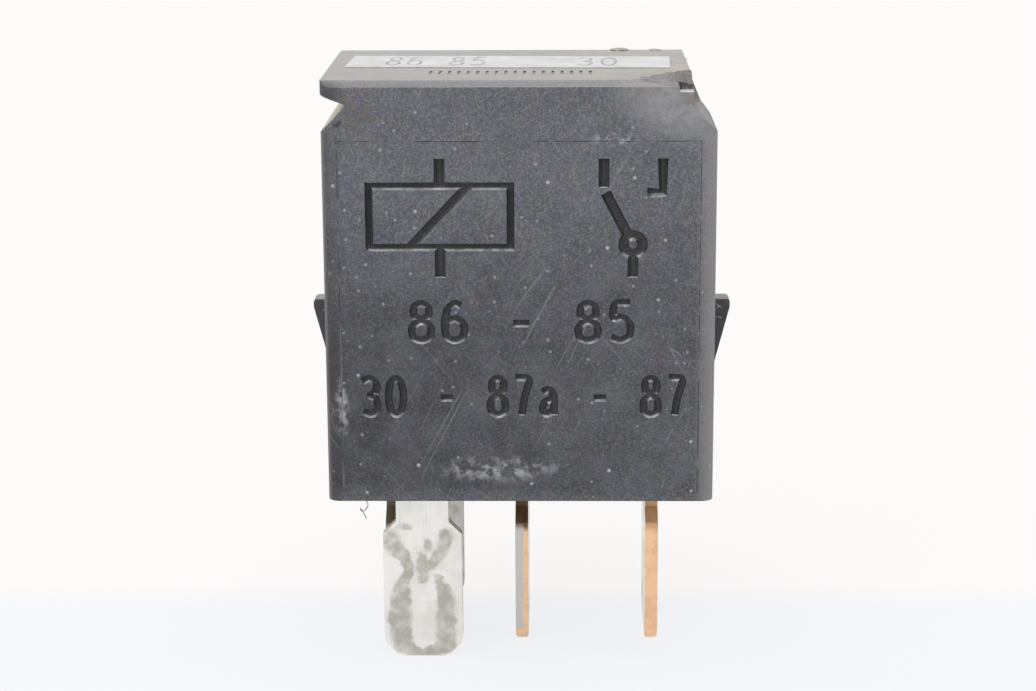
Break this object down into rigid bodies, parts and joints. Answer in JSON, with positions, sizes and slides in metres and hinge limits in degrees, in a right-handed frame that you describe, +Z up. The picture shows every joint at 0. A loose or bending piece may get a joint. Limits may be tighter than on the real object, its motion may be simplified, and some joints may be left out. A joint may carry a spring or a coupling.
{
  "type": "automotive relay",
  "caption": "Small black plug-in changeover relay with flat blade terminals, a grip lip on top and a hinged armature inside.",
  "frame": {"origin": "centre of the relay's footprint, at the level of the blade tips that it stands on", "axes": "+X along the long side towards the make terminal, -Y is the front face, +Z up from the blades to the case"},
  "size_m": [0.0254, 0.0154, 0.0359],
  "materials": {
    "black_pbt": "fine moulded grain, black",
    "label_film": "thin white printed film",
    "base_pbt": "matt moulded black",
    "tinned_copper": "tin plated copper strip, bare copper at the cut edges",
    "bobbin_nylon": "natural nylon",
    "enamelled_wire": "copper wire with clear enamel",
    "soft_iron": "nickel plated soft iron",
    "spring_copper": "rolled copper alloy",
    "rivet_steel": "plated steel",
    "contact_silver": "silver alloy",
    "resistor_body": "lacquered ceramic",
    "tinned_wire": "tinned wire"
  },
  "bodies": {
    "relay": {"cover": "black_pbt", "top_label": "label_film", "base": "base_pbt", "terminal_30": "tinned_copper", "terminal_85": "tinned_copper", "terminal_86": "tinned_copper", "terminal_87": "tinned_copper", "terminal_87a": "tinned_copper", "bobbin": "bobbin_nylon", "coil_winding": "enamelled_wire", "core": "soft_iron", "yoke": "soft_iron", "fixed_contact_open": "contact_silver", "fixed_contact_closed": "contact_silver", "suppression_resistor": "resistor_body", "resistor_lead_85": "tinned_wire", "resistor_lead_86": "tinned_wire"},
    "armature_group": {"armature": "soft_iron", "contact_spring": "spring_copper", "armature_rivet_front": "rivet_steel", "armature_rivet_rear": "rivet_steel", "moving_contact": "contact_silver"}
  },
  "joints": [
    {"name": "armature_pull", "type": "hinge", "parent": "relay", "child": "armature_group", "pos_m": [-0.0076, 0, 0.0288], "axis": [0, 1, 0], "range_deg": [0, 2.4], "stiffness_Nm_per_rad": 0.05, "springref_deg": -3.44}
  ]
}
